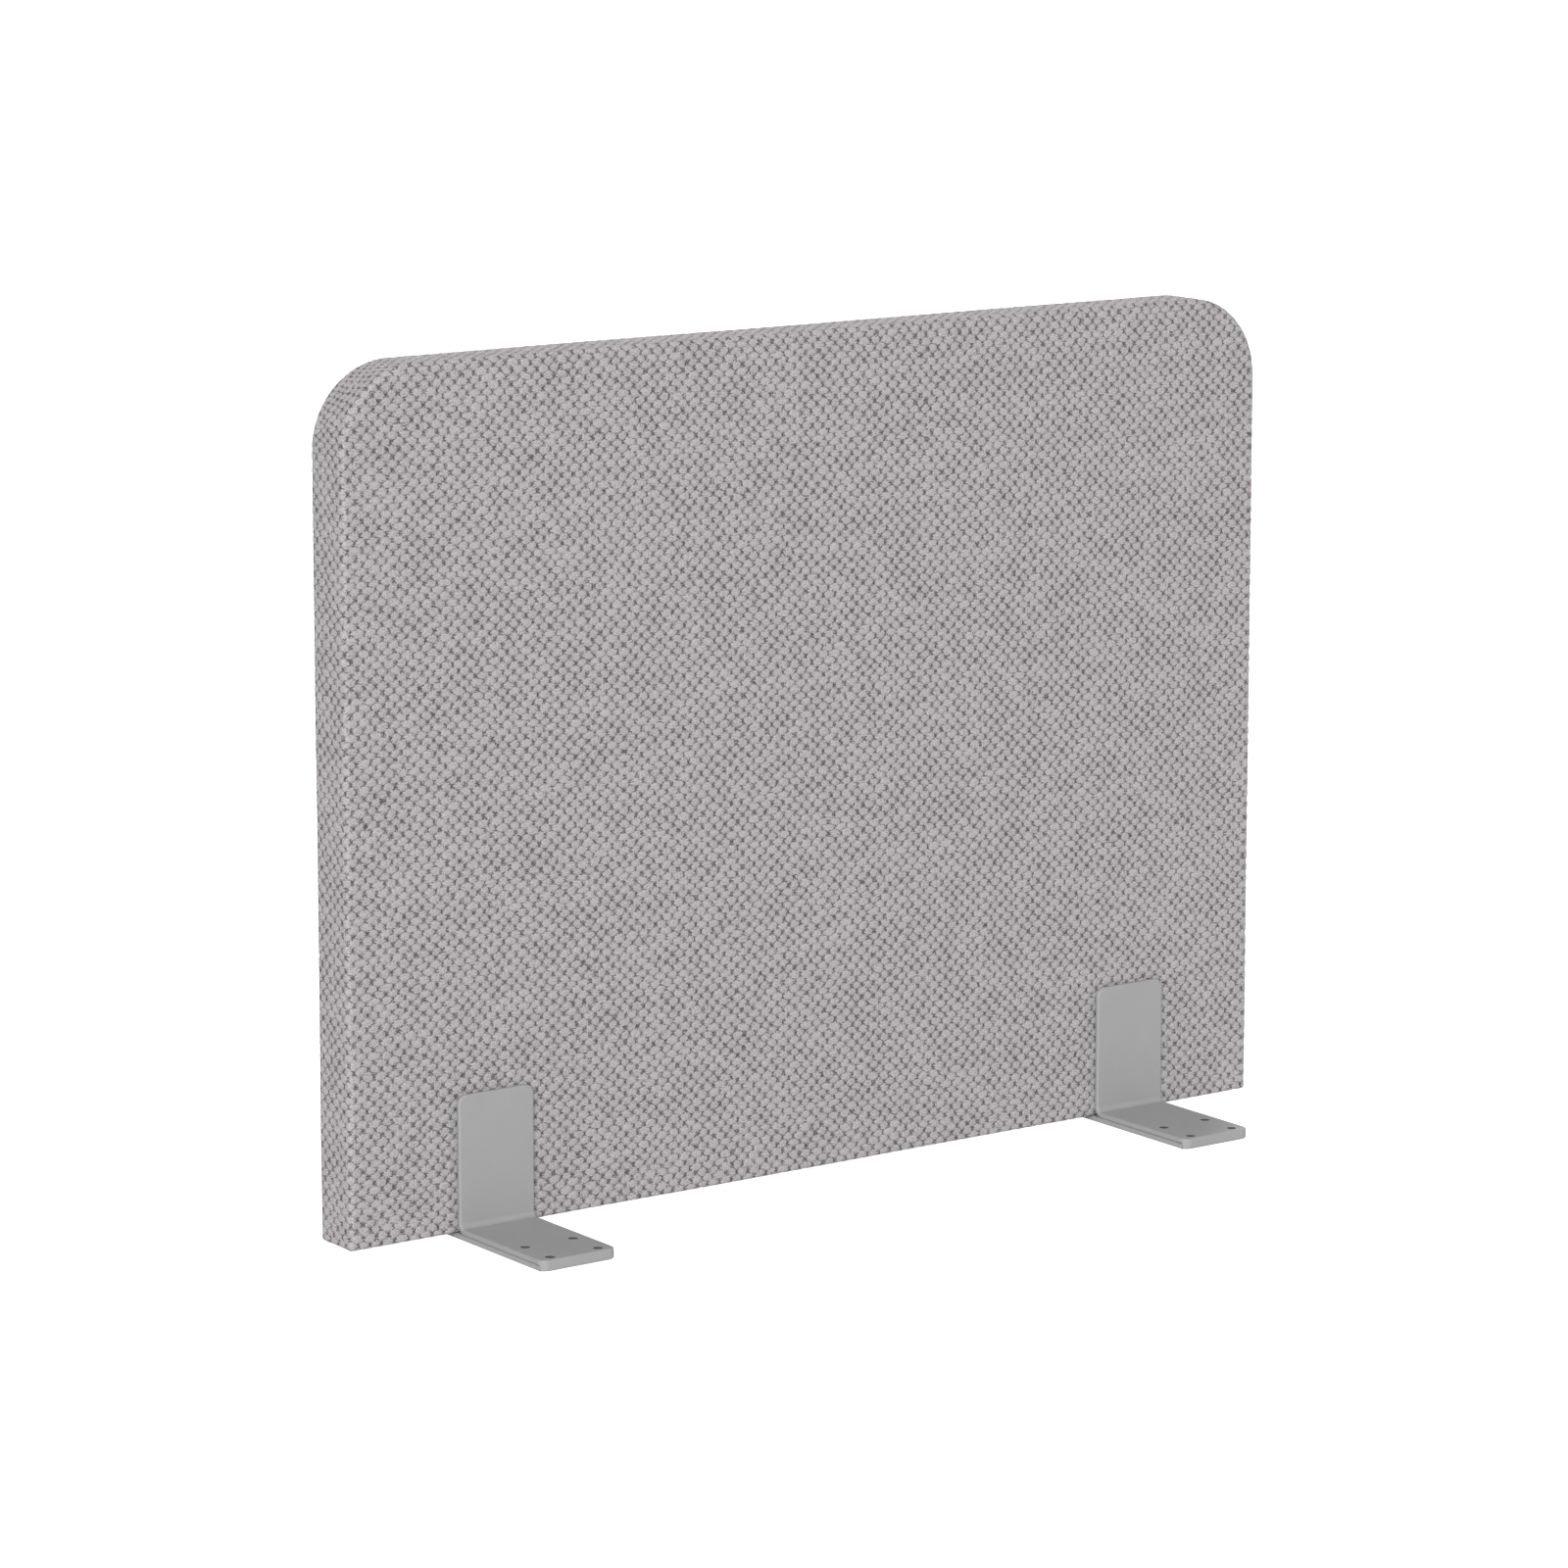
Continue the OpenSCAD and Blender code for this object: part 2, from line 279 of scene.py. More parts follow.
PRESSED = 0.46            # depth of the dent under a bracket
PRESSED_REACH = 5.0       # how far past the bracket the dent fades out
SEAM_DEPTH = 1.3          # how deep the seam round the rear face is drawn in
SEAM_REACH = 3.0          # how far from the seam the cloth starts to dip
SWELL = 0.14              # long, soft unevenness of the padding under the cloth
TUCKED = 0.45             # how far the turned-under cloth lies above the closing strip
TUCK_REACH = 3.0          # how far past the fold it gets there


def pressed(x, z):
    """How far the legs of the brackets press the cover in, in millimetres."""
    depth = np.zeros(x.shape)
    for side in (-1, 1):
        past_side = np.abs(x - side * BRACKET_X) - BAR_W / 2
        past_top = z - LEG_TOP
        past = np.maximum(past_side, past_top)
        depth = np.maximum(depth, PRESSED * (1 - smoothstep(-0.5, PRESSED_REACH, past)))
    return depth


def seam_depth(v):
    """How deep the seam round the rear face is at height v: less near the lower fold."""
    return SEAM_DEPTH * (0.3 + 0.7 * smoothstep(1, 9, v - BOTTOM_Z))


def outline_distance(u, v, inset):
    """Signed distance from the panel's outline moved in by inset, with no lower side, and
    the outward direction there."""
    half_w, top, r = HALF_W - inset, TOP_Z - inset, CORNER_R - inset
    over_x, over_z = np.abs(u) - (half_w - r), v - (top - r)
    in_corner = (over_x > 0) & (over_z > 0)
    length = np.maximum(np.hypot(over_x, over_z), 1e-9)
    distance = np.where(in_corner, length - r, np.maximum(np.abs(u) - half_w, v - top))
    sideways = np.where(in_corner, over_x / length, np.where(over_x - r > over_z - r, 1.0, 0.0))
    upwards = np.where(in_corner, over_z / length, 1 - sideways)
    return distance, np.sign(u) * sideways, upwards


FOLD_QUARTER = FOLD_R * math.pi / 2


def fold_under(place, normal):
    """Turns what hangs below the panel's lower edge inwards, round a soft edge."""
    below = np.maximum(BOTTOM_Z + FOLD_R - place[:, 2], 0)
    angle = np.minimum(below / FOLD_R, math.pi / 2)
    inwards = FOLD_R * (1 - np.cos(angle)) + np.maximum(below - FOLD_QUARTER, 0)
    place = place.copy()
    place[:, 2] = np.where(below > 0, BOTTOM_Z + FOLD_R - FOLD_R * np.sin(angle), place[:, 2])
    place -= normal * inwards[:, None]
    turned = normal * np.cos(angle)[:, None]
    turned[:, 2] -= np.sin(angle)
    return place, turned


def raise_face(place, normal, u, v, yarns, to_seam, swell_seed):
    """Folds the cloth under and gives it its beads, swells, seam and dents."""
    relief = bead_relief(yarns) + SWELL * soft_noise(u, v, 70, 55, swell_seed)
    under = BOTTOM_Z + FOLD_R - v - FOLD_QUARTER
    at_seam = smoothstep(0, SEAM_REACH, SEAM_REACH - to_seam)
    sink = pressed(u, v) + seam_depth(v) * at_seam + TUCKED * smoothstep(0, TUCK_REACH, under)
    place, normal = fold_under(place, normal)
    return place + normal * (relief - sink)[:, None]


def cloth_grid(u_low, u_high, v_low, v_high):
    """Points and quads of a flat cloth, in step with the yarns."""
    columns = round((u_high - u_low) / WARP_PITCH * STEPS_PER_YARN) + 1
    rows = round((v_high - v_low) / WEFT_PITCH * STEPS_PER_YARN) + 1
    return flat_grid(u_low, u_high, columns, v_low, v_high, rows)


def finish_cloth(name, place, quads, outside, yarns):
    """Drops the faces that lie wholly outside the cut, and makes the piece with its yarn map."""
    used, quads = keep_inside(quads, outside)
    cloth = to_scene(name, place[used], quads)
    values = np.stack([yarns[0][used], yarns[1][used], np.zeros(len(used))], axis=1)
    attribute = cloth.data.attributes.new(YARN_PLACE, "FLOAT_VECTOR", "POINT")
    attribute.data.foreach_set("vector", values.astype(np.float32).ravel())
    return cloth


def rim_profile(s):
    """Place across the panel's rim at cloth length s past the front face's flat part:
    (outwards, depth, outward part of the normal, rearward part of the normal)."""
    quarter = EDGE_R * math.pi / 2
    side = REAR_Y - FRONT_Y - 2 * EDGE_R
    first = np.clip(s, 0, quarter) / EDGE_R
    along = np.clip(s - quarter, 0, side)
    second = np.clip(s - quarter - side, 0, quarter) / EDGE_R
    hem = np.maximum(s - 2 * quarter - side, 0)
    outwards = EDGE_R * np.sin(first) - EDGE_R * (1 - np.cos(second)) - hem
    depth = FRONT_Y + EDGE_R * (1 - np.cos(first)) + along + EDGE_R * np.sin(second)
    on_rear = s > quarter + side
    normal_out = np.where(on_rear, np.cos(second), np.sin(first))
    normal_back = np.where(on_rear, np.sin(second), -np.cos(first))
    return outwards, depth, normal_out, normal_back


def make_front_cloth():
    """One cloth over the front face, round the edges and hemmed onto the rear face."""
    wrap = EDGE_R * math.pi + (REAR_Y - FRONT_Y - 2 * EDGE_R) + REAR_HEM - EDGE_R
    flap = FOLD_QUARTER + TURN_UNDER - FOLD_R
    half_flat, top_flat = HALF_W - EDGE_R + wrap, TOP_Z - EDGE_R + wrap
    low_flat = BOTTOM_Z + FOLD_R - flap
    u, v, quads = cloth_grid(-half_flat, half_flat, low_flat, top_flat)

    s, out_x, out_z = outline_distance(u, v, EDGE_R)
    beyond = s > wrap + 1e-6
    below = BOTTOM_Z + FOLD_R - v
    beyond |= (s > 0) & (below > FOLD_QUARTER + 0.5)
    v_base = np.where((s > 0) & (below > FOLD_QUARTER), BOTTOM_Z + FOLD_R - FOLD_QUARTER, v)
    past = np.maximum(s, 0)
    outwards, depth, normal_out, normal_back = rim_profile(np.minimum(past, wrap))
    x = u - out_x * past + out_x * outwards
    z = v_base - out_z * past + out_z * outwards
    normal = np.stack([out_x * normal_out, normal_back, out_z * normal_out], axis=1)
    flat_face = s <= 0
    normal[flat_face] = (0, -1, 0)
    place = np.stack([x, depth, z], axis=1)

    yarns = yarn_place(u, v, seed=11)
    to_seam = wrap - s
    place = raise_face(place, normal, u, v, yarns, to_seam, swell_seed=41)
    cloth = finish_cloth("front_cloth", place, quads, beyond, yarns)
    return cloth, (2 * half_flat, top_flat - low_flat)


def make_rear_cloth():
    """The cloth on the rear face, sewn edge to edge with the front cloth's hem."""
    low_flat = BOTTOM_Z + FOLD_R - FOLD_QUARTER - (TURN_UNDER - FOLD_R)
    half_flat, top_flat = HALF_W - REAR_HEM, TOP_Z - REAR_HEM
    u, v, quads = cloth_grid(-half_flat, half_flat, low_flat, top_flat)
    s, out_x, out_z = outline_distance(u, v, REAR_HEM)
    beyond = s > 1e-6
    past = np.maximum(s, 0)
    place = np.stack([-(u - out_x * past), np.full(u.shape, REAR_Y), v - out_z * past], axis=1)
    normal = np.tile([0.0, 1.0, 0.0], (len(u), 1))
    yarns = yarn_place(u, v, seed=211)
    place = raise_face(place, normal, u, v, yarns, -s, swell_seed=241)
    cloth = finish_cloth("rear_cloth", place, quads, beyond, yarns)
    return cloth, (2 * half_flat, top_flat - low_flat)


# ---- Inside the panel -------------------------------------------------------

PAD_STEP = 3.0            # mesh size
PAD_SOFT_EDGE = 1.2       # how far the outer face drops at the edges
PAD_EDGE_REACH = 3.0      # how far from the edges the drop begins
PAD_BACK_SHARE = 0.4      # the face against the board drops by this share of that
PAD_SLACK = 0.12          # mean gap between the pad's faces and its neighbours


def boundary_edges(quads):
    """The directed edges that only one quad uses."""
    edges = np.concatenate([quads[:, [i, (i + 1) % 4]] for i in range(4)])
    key = np.sort(edges, axis=1)
    _, index, count = np.unique(key, axis=0, return_index=True, return_counts=True)
    return edges[index[count == 1]]


def make_pad(node_name, name, outwards, seed):
    """A felt pad between the core board and the cover, with a hole round each bush."""
    low, high = box_mm(node_name)
    half_w, inset = high[0], HALF_W - high[0]
    columns, rows = round(2 * half_w / PAD_STEP) + 1, round((high[2] - low[2]) / PAD_STEP) + 1
    u, v, quads = flat_grid(-half_w, half_w, columns, low[2], high[2], rows)

    s, out_x, out_z = outline_distance(u, v, inset)
    outside = s > 1e-6
    u, v = u - out_x * np.maximum(s, 0), v - out_z * np.maximum(s, 0)
    to_edge = np.minimum(np.abs(s), v - low[2])
    for side in (-1, 1):
        for height in CLAMP_HEIGHTS:
            across, up = u - side * BRACKET_X, v - height
            away = np.maximum(np.hypot(across, up), 1e-6)
            inside = away < BORE_R
            outside |= inside
            grow = np.where(inside, BORE_R / away, 1.0)
            u, v = side * BRACKET_X + across * grow, height + up * grow
            to_edge = np.minimum(to_edge, np.maximum(away - BORE_R, 0))

    used, quads = keep_inside(quads, outside)
    u, v, to_edge = u[used], v[used], to_edge[used]
    dip = PAD_SOFT_EDGE * (1 - smoothstep(0, PAD_EDGE_REACH, to_edge))
    dip = dip + PAD_SLACK * (1 + soft_noise(u, v, 11, 9, seed))
    inner_y, outer_y = (high[1], low[1]) if outwards < 0 else (low[1], high[1])
    outer = np.stack([u, np.full(len(u), outer_y) - outwards * dip, v], axis=1)
    inner = np.stack([u, np.full(len(u), inner_y) + outwards * dip * PAD_BACK_SHARE, v], axis=1)
    count = len(u)
    rim = boundary_edges(quads)
    walls = np.stack([rim[:, 1], rim[:, 0], rim[:, 0] + count, rim[:, 1] + count], axis=1)
    every = np.concatenate([quads, quads[:, ::-1] + count, walls])
    if outwards > 0:
        every = every[:, ::-1]
    pad = to_scene(name, np.concatenate([outer, inner]), every)
    return pad


STRIP_COLUMNS, STRIP_ROWS = 300, 13
STRIP_GAP = 0.03          # above the underside of its CAD solid
STRIP_LIFT = 0.10         # mean height of its soft unevenness
STRIP_EDGE_REACH = 6.0    # how far from its long edges it gets that high


def make_strip():
    """The closing strip under the panel: thin non-woven cloth, held down by the staples."""
    (left, front, bottom), (right, back, _) = strip_low, strip_high
    u, v, quads = flat_grid(left, right, STRIP_COLUMNS, front, back, STRIP_ROWS)
    to_edge = np.minimum(v - front, back - v)
    lift = STRIP_LIFT * (1 + soft_noise(u, v, 14, 9, 71)) * smoothstep(0, STRIP_EDGE_REACH, to_edge)
    place = np.stack([u, v, bottom + STRIP_GAP + lift], axis=1)
    strip = to_scene("underside_strip", place, quads[:, ::-1])
    return strip


# ---- Materials --------------------------------------------------------------

def new_material(name):
    """A material with one shader, its node tree and the shader."""
    material = bpy.data.materials.new(name)
    material.use_nodes = True
    tree = material.node_tree
    tree.nodes.clear()
    shader = tree.nodes.new("ShaderNodeBsdfPrincipled")
    output = tree.nodes.new("ShaderNodeOutputMaterial")
    tree.links.new(shader.outputs["BSDF"], output.inputs["Surface"])
    return material, tree, shader


def node(tree, kind, **settings):
    """A new node. A setting is one of its properties, or else the value of an input."""
    made = tree.nodes.new(kind)
    for key, value in settings.items():
        if hasattr(made, key):
            setattr(made, key, value)
        else:
            made.inputs[key.replace("_", " ")].default_value = value
    return made


def ramp(tree, source, stops):
    """The colour at source on a ramp of (position, colour) stops."""
    made = tree.nodes.new("ShaderNodeValToRGB")
    elements = made.color_ramp.elements
    while len(elements) < len(stops):
        elements.new(0.5)
    for element, (position, colour) in zip(elements, stops):
        element.position = position
        element.color = (*colour, 1)
    tree.links.new(source, made.inputs["Fac"])
    return made.outputs["Color"]


def calc(tree, operation, *inputs):
    """A math node on sockets and numbers, and what it gives."""
    made = tree.nodes.new("ShaderNodeMath")
    made.operation = operation
    for socket, value in zip(made.inputs, inputs):
        if isinstance(value, (int, float)):
            socket.default_value = value
        else:
            tree.links.new(value, socket)
    return made.outputs["Value"]


def remap(tree, source, low, high, to_low, to_high, interpolation="LINEAR"):
    """source, with low and high taken to to_low and to_high, and held at those beyond."""
    made = node(tree, "ShaderNodeMapRange", interpolation_type=interpolation)
    limits = {"From Min": low, "From Max": high, "To Min": to_low, "To Max": to_high}
    for limit, value in limits.items():
        made.inputs[limit].default_value = value
    tree.links.new(source, made.inputs["Value"])
    return made.outputs["Result"]


def add_bump(tree, shader, height, strength, distance_mm):
    """Bends the shader's normal as if the surface stood up by height times distance_mm."""
    bump = node(tree, "ShaderNodeBump", Strength=strength, Distance=distance_mm * MM)
    tree.links.new(height, bump.inputs["Height"])
    tree.links.new(bump.outputs["Normal"], shader.inputs["Normal"])


def bead_row(tree, along, across, row):
    """Nodes for one row of beads: their height, as in bead_height() but with each bead a little
    longer or shorter, a random number for each, and how far the place lies towards a bead's end
    (1) and not towards its long side (0)."""
    shift = calc(tree, "MULTIPLY", calc(tree, "FLOORED_MODULO", row, 2.0), WARP_PITCH)
    from_shift = calc(tree, "SUBTRACT", along, shift)
    bead = calc(tree, "ROUND", calc(tree, "DIVIDE", from_shift, 2 * WARP_PITCH))
    key = tree.nodes.new("ShaderNodeCombineXYZ")
    tree.links.new(bead, key.inputs["X"])
    tree.links.new(row, key.inputs["Y"])
    chance = node(tree, "ShaderNodeTexWhiteNoise", noise_dimensions="2D")
    tree.links.new(key.outputs["Vector"], chance.inputs["Vector"])
    half_length = calc(tree, "MULTIPLY_ADD", chance.outputs["Value"], BEAD_SPREAD * BEAD_HALF_LENGTH,
                       (1 - BEAD_SPREAD / 2) * BEAD_HALF_LENGTH)
    a = calc(tree, "ABSOLUTE", calc(tree, "MULTIPLY_ADD", bead, -2 * WARP_PITCH, from_shift))
    row_middle = calc(tree, "MULTIPLY_ADD", row, WEFT_PITCH, WEFT_PITCH / 2)
    b = calc(tree, "ABSOLUTE", calc(tree, "SUBTRACT", across, row_middle))
    a = calc(tree, "POWER", calc(tree, "DIVIDE", a, half_length), BEAD_POWER)
    b = calc(tree, "POWER", calc(tree, "DIVIDE", b, BEAD_HALF_HEIGHT), BEAD_POWER)
    reach = calc(tree, "ADD", a, b)
    endwards = calc(tree, "DIVIDE", a, calc(tree, "MAXIMUM", reach, 0.01))
    reach_squared = calc(tree, "POWER", reach, 2 / BEAD_POWER)
    height = calc(tree, "SUBTRACT", 1.0, reach_squared)
    return height, chance.outputs["Value"], endwards


def stretched_noise(tree, vector, scale_u, scale_v, detail=2.0, roughness=0.6):
    """Noise from 0 to 1 with lumps of about 1/scale_u by 1/scale_v millimetres."""
    stretch = node(tree, "ShaderNodeVectorMath", operation="MULTIPLY")
    stretch.inputs[1].default_value = (scale_u, scale_v, 1)
    tree.links.new(vector, stretch.inputs[0])
    made = node(tree, "ShaderNodeTexNoise", Scale=1.0, Detail=detail, Roughness=roughness)
    tree.links.new(stretch.outputs["Vector"], made.inputs["Vector"])
    return made.outputs["Fac"]


def centred(tree, source, amount):
    """source, which runs from 0 to 1, as a change of up to half of amount either way."""
    return calc(tree, "MULTIPLY_ADD", source, amount, -amount / 2)


# the dark end of this ramp is mostly painted shade for the holes and the lines between rows; the light
# end is the yarn
CLOTH_COLOURS = [
    (0.00, (0.095, 0.085, 0.089)),
    (0.40, (0.272, 0.252, 0.259)),
    (0.80, (0.470, 0.442, 0.452)),
    (1.00, (0.540, 0.511, 0.522)),
]

# Tones, as positions on that ramp: on the beads, in the thin lines between their rows, and in
# the holes between their ends, from the darkest to the lightest. The tones of the lines and
# holes are painted shade where the yarns dip away.
BEAD_TONE = 0.79
SHADE_BETWEEN_ROWS = 0.34
HOLE_SHADE_TONES = (-0.10, 0.34)

# How much the yarn's fibres, its specks, chance from bead to bead and large soft clouds change
# the tone, and how much they move a bead's edge
TONE_CHANGES = {"fibres": 0.95, "specks": 1.60, "chance": 0.10, "cloud": 0.12}
EDGE_CHANGES = {"fibres": 1.5, "specks": 1.6}


def cloth_material():
    """Coarse plain weave: light beads, painted shade in the holes and lines between them, and the
    fibres of the yarn.
    """
    material, tree, shader = new_material("woven_cover")
    place = node(tree, "ShaderNodeAttribute", attribute_name=YARN_PLACE)
    parts = tree.nodes.new("ShaderNodeSeparateXYZ")
    tree.links.new(place.outputs["Vector"], parts.inputs["Vector"])
    along, across = parts.outputs["X"], parts.outputs["Y"]

    first_row = calc(tree, "FLOOR", calc(tree, "MULTIPLY_ADD", across, 1 / WEFT_PITCH, -0.5))
    second_row = calc(tree, "ADD", first_row, 1.0)
    height_1, *first = bead_row(tree, along, across, first_row)
    height_2, *second = bead_row(tree, along, across, second_row)
    height = calc(tree, "MAXIMUM", height_1, height_2)
    is_second = calc(tree, "GREATER_THAN", height_2, height_1)
    chance, endwards = [calc(tree, "MULTIPLY_ADD", calc(tree, "SUBTRACT", b, a), is_second, a)
                        for a, b in zip(first, second)]

    where = place.outputs["Vector"]
    hole_shade_noise = stretched_noise(tree, where, 0.62, 0.66)
    uneven = {
        "fibres": stretched_noise(tree, where, 0.55, 2.2, detail=3.0, roughness=0.75),
        "specks": stretched_noise(tree, where, 0.95, 1.15, detail=2.0, roughness=0.7),
        "chance": chance,
        "cloud": stretched_noise(tree, where, 0.022, 0.05, detail=3.0),
    }

    edge = height
    for name, amount in EDGE_CHANGES.items():
        edge = calc(tree, "ADD", edge, centred(tree, uneven[name], amount))
    # off the beads the tone drops to painted shade: a darker line between the rows and darker holes at
    # the beads' ends
    on_bead = remap(tree, edge, -0.22, 0.56, 0, 1, "SMOOTHSTEP")
    at_end = remap(tree, endwards, 0.25, 0.85, 0, 1, "SMOOTHSTEP")
    depth = remap(tree, hole_shade_noise, 0.32, 0.68, *HOLE_SHADE_TONES)
    drop = calc(tree, "SUBTRACT", depth, SHADE_BETWEEN_ROWS)
    gap_shade_tone = calc(tree, "MULTIPLY_ADD", drop, at_end, SHADE_BETWEEN_ROWS)
    rise = calc(tree, "SUBTRACT", BEAD_TONE, gap_shade_tone)
    tone = calc(tree, "MULTIPLY_ADD", rise, on_bead, gap_shade_tone)
    for name, amount in TONE_CHANGES.items():
        tone = calc(tree, "ADD", tone, centred(tree, uneven[name], amount))
    colour = ramp(tree, tone, CLOTH_COLOURS)
    tree.links.new(colour, shader.inputs["Base Color"])

    bead = calc(tree, "MAXIMUM", height, -0.7)
    roundness = calc(tree, "ADD", bead, centred(tree, uneven["fibres"], 0.5))
    add_bump(tree, shader, roundness, 0.5, 0.25)
    shader.inputs["Roughness"].default_value = 0.92
    shader.inputs["Specular IOR Level"].default_value = 0.2
    shader.inputs["Sheen Weight"].default_value = 0.05
    shader.inputs["Sheen Roughness"].default_value = 0.5
    return material


def coated_steel_material():
    """Satin powder coat: even grey with a fine orange-peel skin."""
    material, tree, shader = new_material("powder_coat")
    where = node(tree, "ShaderNodeTexCoord")
    peel = node(tree, "ShaderNodeTexNoise", Scale=900.0, Detail=2.0, Roughness=0.5)
    cloud = node(tree, "ShaderNodeTexNoise", Scale=35.0, Detail=3.0, Roughness=0.55)
    for texture in (peel, cloud):
        tree.links.new(where.outputs["Object"], texture.inputs["Vector"])
    colour = ramp(tree, cloud.outputs["Fac"], [
        (0.30, (0.368, 0.368, 0.368)),
        (0.70, (0.386, 0.386, 0.386)),
    ])
    tree.links.new(colour, shader.inputs["Base Color"])
    roughness = remap(tree, peel.outputs["Fac"], 0, 1, 0.42, 0.56)
    tree.links.new(roughness, shader.inputs["Roughness"])
    add_bump(tree, shader, peel.outputs["Fac"], 0.15, 0.2)
    return material


def mottled_material(name, low, high, scale, roughness, bump_height=0.0, bump_scale=None, metallic=0.0):
    """A finish that drifts between two colours, with a fine uneven surface."""
    material, tree, shader = new_material(name)
    where = node(tree, "ShaderNodeTexCoord")
    cloud = node(tree, "ShaderNodeTexNoise", Scale=scale, Detail=4.0, Roughness=0.65)
    tree.links.new(where.outputs["Object"], cloud.inputs["Vector"])
    colour = ramp(tree, cloud.outputs["Fac"], [(0.3, low), (0.7, high)])
    tree.links.new(colour, shader.inputs["Base Color"])
    shader.inputs["Roughness"].default_value = roughness
    shader.inputs["Metallic"].default_value = metallic
    if bump_height:
        grain = node(tree, "ShaderNodeTexNoise", Scale=bump_scale, Detail=2.0, Roughness=0.6)
        tree.links.new(where.outputs["Object"], grain.inputs["Vector"])
        add_bump(tree, shader, grain.outputs["Fac"], 0.6, bump_height)
    return material


# ---- Stage, light and camera ------------------------------------------------

AMBIENT = 0.48            # strength of the light from all round
FLOOR_GLOW = 0.26         # strength of the floor's own light, under the piece
SEEN_WHITE = 1.05         # strength at which floor and background show pure white
FLOOR_HALF = 4000.0       # half the floor's width


def seen_brighter(tree, socket, to_others, to_camera):
    """Sets a strength that lights the scene with one value and shows in the picture with another."""
    path = node(tree, "ShaderNodeLightPath")
    strength = remap(tree, path.outputs["Is Camera Ray"], 0, 1, to_others, to_camera)
    tree.links.new(strength, socket)


def make_stage():
    """A white floor, white surroundings and two large soft lamps."""
    corners = [(x * FLOOR_HALF, y * FLOOR_HALF, 0) for x, y in ((-1, -1), (1, -1), (1, 1), (-1, 1))]
    floor = to_scene("floor", corners, [(0, 1, 2, 3)], smooth=False)
    material, tree, shader = new_material("floor_white")
    shader.inputs["Base Color"].default_value = (0.45, 0.45, 0.45, 1)
    shader.inputs["Roughness"].default_value = 0.8
    shader.inputs["Emission Color"].default_value = (1, 1, 1, 1)
    seen_brighter(tree, shader.inputs["Emission Strength"], FLOOR_GLOW, SEEN_WHITE)
    floor.data.materials.append(material)

    world = bpy.data.worlds.new("studio")
    world.use_nodes = True
    tree = world.node_tree
    sky = tree.nodes["Background"]
    sky.inputs["Color"].default_value = (1, 1, 1, 1)
    seen_brighter(tree, sky.inputs["Strength"], AMBIENT, SEEN_WHITE)
    bpy.context.scene.world = world

    target = (0, 0, 0.2)
    add_softbox("key", (-8.1, -8.9, 5.1), target, size=9.0, power=1225)
    add_softbox("back_fill", (3.2, 4.4, 3.4), target, size=4.0, power=195)


def add_softbox(name, place, aim, size, power):
    """A round area lamp at place, turned towards aim."""
    light = bpy.data.lights.new(name, "AREA")
    light.shape = "DISK"
    light.size = size
    light.energy = power
    lamp = bpy.data.objects.new(name, light)
    lamp.location = place
    lamp.rotation_euler = (Vector(aim) - Vector(place)).to_track_quat("-Z", "Y").to_euler()
    bpy.context.scene.collection.objects.link(lamp)


def make_camera():
    """The viewpoint: from the front left and a little above, with a long lens."""
    turn, tilt = math.radians(-35.81), math.radians(9.36)
    distance = 3.068
    aim = Vector((-0.0415, 0.0, 0.3069))
    away = Vector((math.sin(turn) * math.cos(tilt), -math.cos(turn) * math.cos(tilt), math.sin(tilt)))
    data = bpy.data.cameras.new("camera")
    data.lens = 133.4
    data.sensor_width = 36
    data.shift_y = -0.1
    camera = bpy.data.objects.new("camera", data)
    camera.location = aim + away * distance
    camera.rotation_euler = (-away).to_track_quat("-Z", "Y").to_euler()
    bpy.context.scene.collection.objects.link(camera)
    bpy.context.scene.camera = camera


# ---- The pieces -------------------------------------------------------------

# How far the edges of the hard pieces are rounded off
STEEL_EDGE = 1.1
STEEL_CRISP_EDGE = 0.2
ZINC_EDGES = {"screw": 0.22, "washer": 0.14, "bush": 0.35}
BOARD_EDGE = 0.5
STAPLE_EDGE = 0.18

make_camera()
make_stage()
bpy.context.scene.view_settings.view_transform = "Standard"

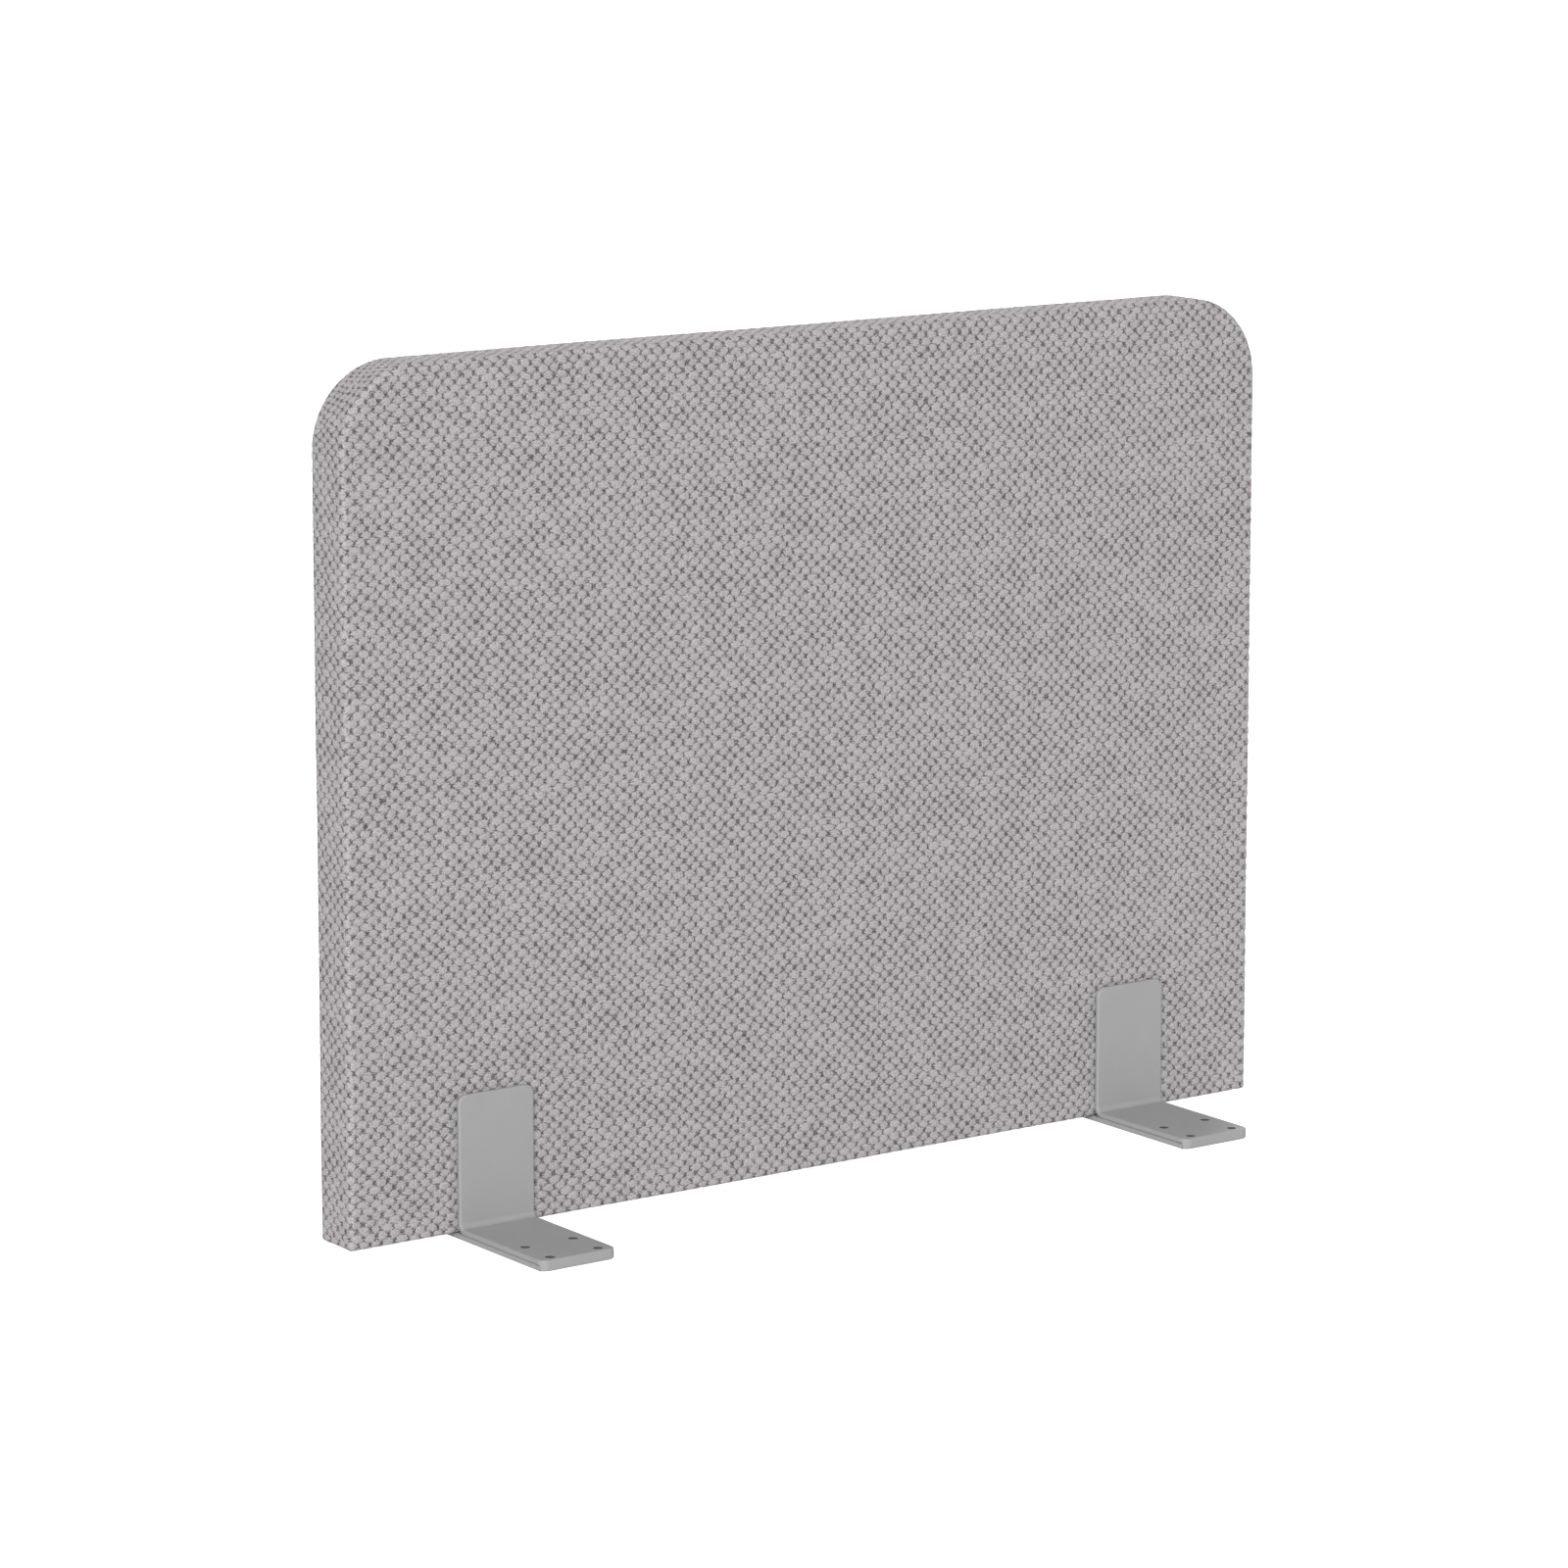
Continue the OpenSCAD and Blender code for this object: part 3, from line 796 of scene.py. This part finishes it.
woven = cloth_material()
front_cloth, front_flat = make_front_cloth()
install(front_cloth, ["front_cover"], woven)

rear_cloth, rear_flat = make_rear_cloth()
install(rear_cloth, ["rear_cover"], woven)

steel = coated_steel_material()
# near-black material for the walls of the desk holes: painted shade in the recesses, not a different
# finish of the steel
hole_wall_painted_shade = mottled_material("hole_wall_painted_shade", (0.085, 0.085, 0.085), (0.125, 0.125, 0.125), 600, 0.7)
for side in ("left", "right"):
    for part in ("front_angle", "rear_angle"):
        name = f"{side}_{part}"
        angle = eased_copy(name, name + "_coated", STEEL_EDGE, STEEL_CRISP_EDGE, segments=4)
        install(angle, [name], steel)
        # the walls of the desk holes get painted shade
        paint_shade_on_hole_walls(angle, hole_wall_painted_shade)

zinc = mottled_material("zinc_plate", (0.50, 0.51, 0.53), (0.62, 0.63, 0.64), 260, 0.36,
                        bump_height=0.02, bump_scale=1500, metallic=1.0)
for side in ("left", "right"):
    for level in ("lower", "upper"):
        for part, width in ZINC_EDGES.items():
            name = f"{side}_{level}_{part}"
            install(eased_copy(name, name + "_zinc", width), [name], zinc)

board = mottled_material("fibre_board", (0.30, 0.20, 0.115), (0.42, 0.30, 0.19), 520, 0.85,
                         bump_height=0.15, bump_scale=900)
install(eased_copy("core_board", "fibre_core", BOARD_EDGE), ["core_board"], board)

felt = mottled_material("needle_felt", (0.50, 0.50, 0.48), (0.70, 0.70, 0.68), 300, 0.95,
                        bump_height=0.5, bump_scale=700)
install(make_pad("front_pad", "front_felt", -1, 301), ["front_pad"], felt)
install(make_pad("rear_pad", "rear_felt", 1, 302), ["rear_pad"], felt)

non_woven = mottled_material("non_woven", (0.030, 0.030, 0.032), (0.060, 0.060, 0.063), 420, 0.9,
                             bump_height=0.2, bump_scale=1100)
install(make_strip(), ["bottom_strip"], non_woven)

wire = mottled_material("staple_wire", (0.45, 0.46, 0.48), (0.60, 0.61, 0.62), 300, 0.32,
                        bump_height=0.01, bump_scale=1800, metallic=1.0)
install(eased_copy("bottom_staples", "staple_row", STAPLE_EDGE), ["bottom_staples"], wire)
